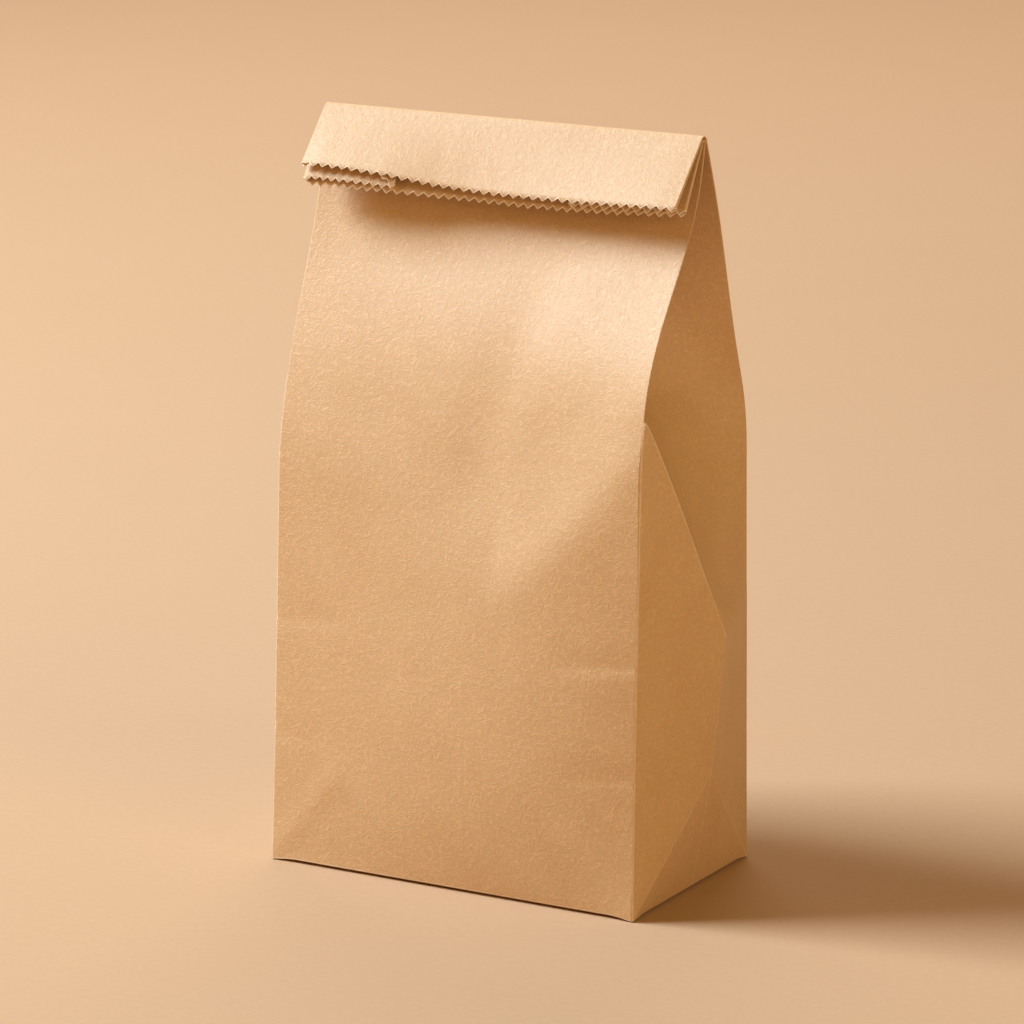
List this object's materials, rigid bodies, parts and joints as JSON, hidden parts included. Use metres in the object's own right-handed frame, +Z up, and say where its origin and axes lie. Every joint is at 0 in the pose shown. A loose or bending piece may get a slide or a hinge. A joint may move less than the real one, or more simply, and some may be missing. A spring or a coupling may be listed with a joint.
{
  "type": "paper lunch bag",
  "caption": "Brown kraft paper lunch bag standing open on its block bottom, with side gussets, soft creases and a pinked mouth folded over once to the front.",
  "frame": {"origin": "middle of the bag's base, on the surface it stands on", "axes": "+Z up along the bag, +X along its width to the right of the front panel, -Y out of the front panel"},
  "size_m": [0.1528, 0.0784, 0.2371],
  "materials": {
    "kraft_paper": "matt uncoated brown kraft"
  },
  "bodies": {
    "root": {"paper_bag": "kraft_paper"}
  },
  "joints": []
}
